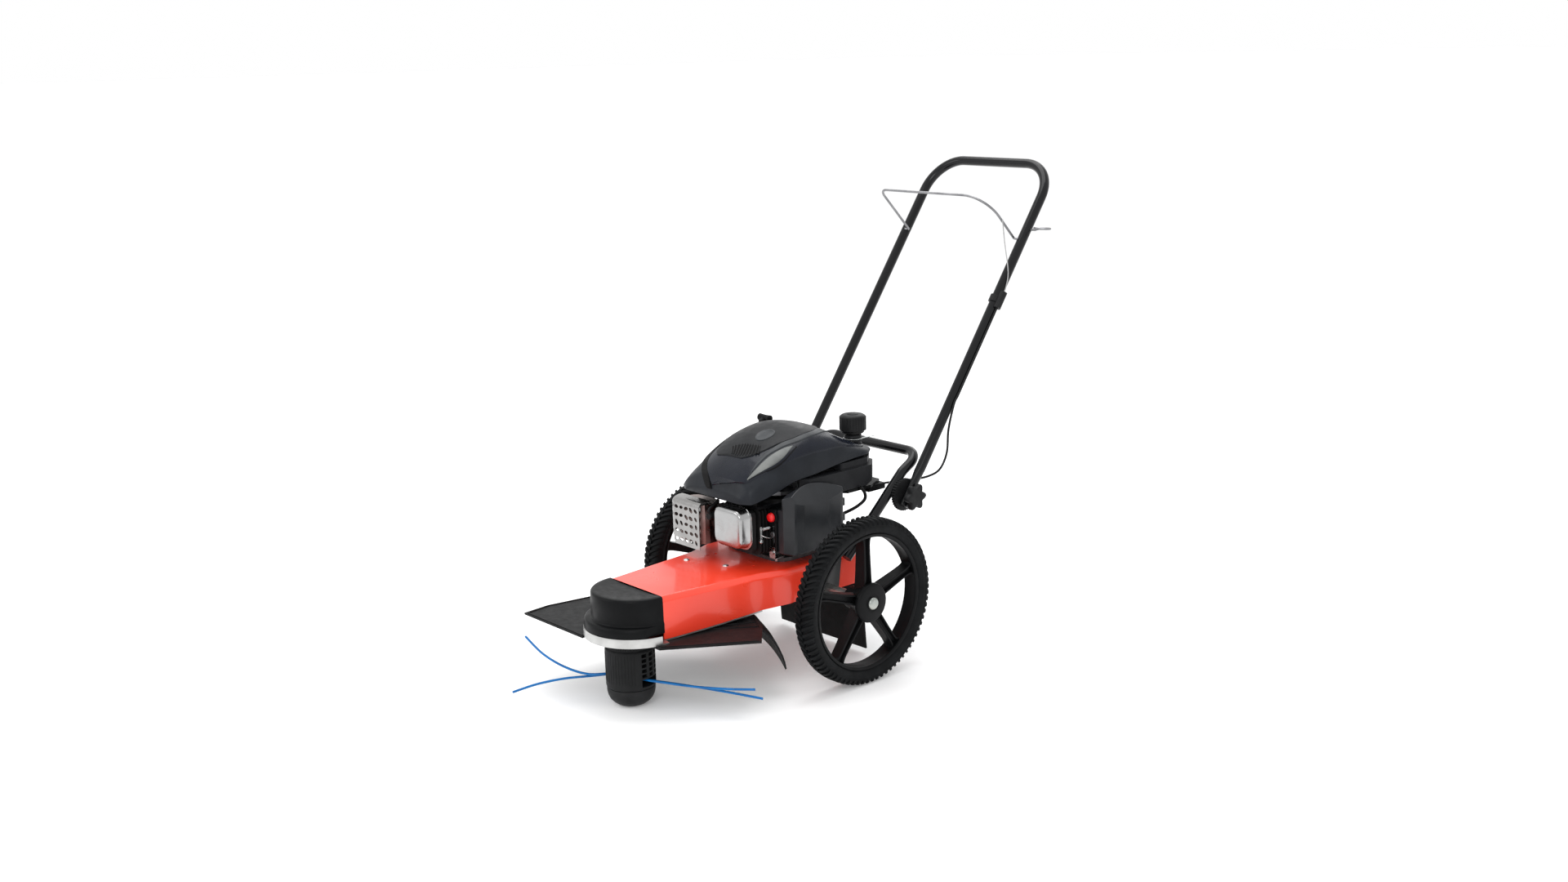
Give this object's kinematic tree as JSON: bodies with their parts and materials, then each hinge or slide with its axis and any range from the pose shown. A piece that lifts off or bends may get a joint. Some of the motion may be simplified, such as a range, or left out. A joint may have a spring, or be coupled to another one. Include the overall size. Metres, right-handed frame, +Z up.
{
  "type": "wheeled string trimmer mower",
  "caption": "Walk-behind string trimmer mower: petrol engine on a tapered red deck, line head at the nose, spoked wheels and a folding tube handle.",
  "frame": {"origin": "on the ground under the middle of the whole machine, midway between the wheels", "axes": "+Z up, -Y toward the string head at the nose, +X the left-hand side of the machine as its user stands behind it"},
  "size_m": [0.5714, 1.3428, 1.0409],
  "materials": {
    "engine_deck": "gloss red powder coat",
    "bottom_plate": "zinc plated",
    "head_cover": "textured black",
    "trimmer_guard": "satin black",
    "rear_flap": "matt black",
    "axle": "zinc plated",
    "left_frame_bar": "satin black",
    "right_frame_bar": "satin black",
    "lower_handle": "gloss black",
    "left_inner_disc": "satin black",
    "right_inner_disc": "satin black",
    "left_pivot_bolt": "zinc plated",
    "right_pivot_bolt": "zinc plated",
    "spindle_housing": "machined",
    "drive_belt": "matt black",
    "crankcase": "as cast",
    "cylinder": "as cast with fins",
    "valve_cover": "satin",
    "muffler": "heat stained",
    "muffler_guard": "bright perforated",
    "spark_plug": "matt black boot",
    "carburettor": "as cast",
    "air_filter_base": "satin black",
    "air_filter_cover": "satin charcoal",
    "blower_base": "satin black",
    "fuel_tank": "satin black",
    "engine_shroud": "satin charcoal",
    "recoil_cover": "satin black, vented",
    "oil_filler_cap": "satin black",
    "fuel_hose": "matt black",
    "cap_tether": "wire",
    "cable_lower": "satin black sheath",
    "upper_handle": "gloss black",
    "left_outer_disc": "satin black",
    "right_outer_disc": "satin black",
    "rope_guide": "wire",
    "cable_adjuster": "satin black",
    "cable_upper": "satin black sheath",
    "bail_wire": "wire",
    "bail": "zinc plated wire",
    "left_knob": "satin black",
    "right_knob": "satin black",
    "left_tyre": "matt black",
    "left_rim": "satin black",
    "left_hub_cap": "zinc plated",
    "right_tyre": "matt black",
    "right_rim": "satin black",
    "right_hub_cap": "zinc plated",
    "trimmer_head": "textured black",
    "head_pulley": "machined",
    "line_one": "blue nylon",
    "line_two": "blue nylon",
    "mow_ball": "worn black",
    "crankshaft": "machined",
    "drive_pulley": "machined",
    "fuel_cap": "satin black",
    "primer_bulb": "translucent red",
    "recoil_grip": "satin black"
  },
  "bodies": {
    "chassis": {"engine_deck": "engine_deck", "bottom_plate": "bottom_plate", "head_cover": "head_cover", "trimmer_guard": "trimmer_guard", "rear_flap": "rear_flap", "axle": "axle", "left_frame_bar": "left_frame_bar", "right_frame_bar": "right_frame_bar", "lower_handle": "lower_handle", "left_inner_disc": "left_inner_disc", "right_inner_disc": "right_inner_disc", "left_pivot_bolt": "left_pivot_bolt", "right_pivot_bolt": "right_pivot_bolt", "spindle_housing": "spindle_housing", "drive_belt": "drive_belt", "crankcase": "crankcase", "cylinder": "cylinder", "valve_cover": "valve_cover", "muffler": "muffler", "muffler_guard": "muffler_guard", "spark_plug": "spark_plug", "carburettor": "carburettor", "air_filter_base": "air_filter_base", "air_filter_cover": "air_filter_cover", "blower_base": "blower_base", "fuel_tank": "fuel_tank", "engine_shroud": "engine_shroud", "recoil_cover": "recoil_cover", "oil_filler_cap": "oil_filler_cap", "fuel_hose": "fuel_hose", "cap_tether": "cap_tether", "cable_lower": "cable_lower"},
    "handle": {"upper_handle": "upper_handle", "left_outer_disc": "left_outer_disc", "right_outer_disc": "right_outer_disc", "rope_guide": "rope_guide", "cable_adjuster": "cable_adjuster", "cable_upper": "cable_upper", "bail_wire": "bail_wire"},
    "bail": {"bail": "bail"},
    "left_knob": {"left_knob": "left_knob"},
    "right_knob": {"right_knob": "right_knob"},
    "left_wheel": {"left_tyre": "left_tyre", "left_rim": "left_rim", "left_hub_cap": "left_hub_cap"},
    "right_wheel": {"right_tyre": "right_tyre", "right_rim": "right_rim", "right_hub_cap": "right_hub_cap"},
    "head": {"trimmer_head": "trimmer_head", "head_pulley": "head_pulley", "line_one": "line_one", "line_two": "line_two"},
    "mow_ball": {"mow_ball": "mow_ball"},
    "crank": {"crankshaft": "crankshaft", "drive_pulley": "drive_pulley"},
    "fuel_cap": {"fuel_cap": "fuel_cap"},
    "primer": {"primer_bulb": "primer_bulb"},
    "recoil": {"recoil_grip": "recoil_grip"}
  },
  "joints": [
    {"name": "left_wheel_spin", "type": "hinge", "parent": "chassis", "child": "left_wheel", "pos_m": [0.2525, -0.03056, 0.178], "axis": [1, 0, 0], "continuous": true},
    {"name": "right_wheel_spin", "type": "hinge", "parent": "chassis", "child": "right_wheel", "pos_m": [-0.2525, -0.03056, 0.178], "axis": [1, 0, 0], "continuous": true},
    {"name": "crank_spin", "type": "hinge", "parent": "chassis", "child": "crank", "pos_m": [0, -0.05056, 0.2085], "axis": [0, 0, 1], "continuous": true},
    {"name": "head_spin", "type": "hinge", "parent": "chassis", "child": "head", "pos_m": [0, -0.45156, 0.093], "axis": [0, 0, 1], "continuous": true},
    {"name": "mow_ball_spin", "type": "hinge", "parent": "head", "child": "mow_ball", "pos_m": [0, -0.45156, 0.02], "axis": [0, 0, 1], "continuous": true},
    {"name": "handle_fold", "type": "hinge", "parent": "chassis", "child": "handle", "pos_m": [0, 0.17844, 0.35], "axis": [1, 0, 0], "range_deg": [-20, 110], "deforming": ["cable_lower"]},
    {"name": "bail_close", "type": "hinge", "parent": "handle", "child": "bail", "pos_m": [0, 0.53944, 0.873], "axis": [1, 0, 0], "range_deg": [-75, 0], "stiffness_Nm_per_rad": 0.3, "springref_deg": 28.65, "deforming": ["bail_wire"]},
    {"name": "left_knob_turn", "type": "hinge", "parent": "chassis", "child": "left_knob", "pos_m": [0.188, 0.17844, 0.35], "axis": [1, 0, 0], "range_deg": [0, 360]},
    {"name": "right_knob_turn", "type": "hinge", "parent": "chassis", "child": "right_knob", "pos_m": [-0.188, 0.17844, 0.35], "axis": [-1, 0, 0], "range_deg": [0, 360]},
    {"name": "fuel_cap_turn", "type": "hinge", "parent": "chassis", "child": "fuel_cap", "pos_m": [0.06, 0.12944, 0.4768], "axis": [0, 0, 1], "range_deg": [0, 120]},
    {"name": "primer_press", "type": "slide", "parent": "chassis", "child": "primer", "axis": [0, 1, 0], "range_m": [0, 0.004], "stiffness_N_per_m": 500, "springref_m": -0.001},
    {"name": "recoil_pull", "type": "slide", "parent": "chassis", "child": "recoil", "axis": [0, 0.8, 0.6], "range_m": [0, 0.3], "stiffness_N_per_m": 40, "springref_m": -0.05}
  ],
  "couplings": [
    {"joint": "head_spin", "follows": "crank_spin", "ratio": 0.8947}
  ]
}
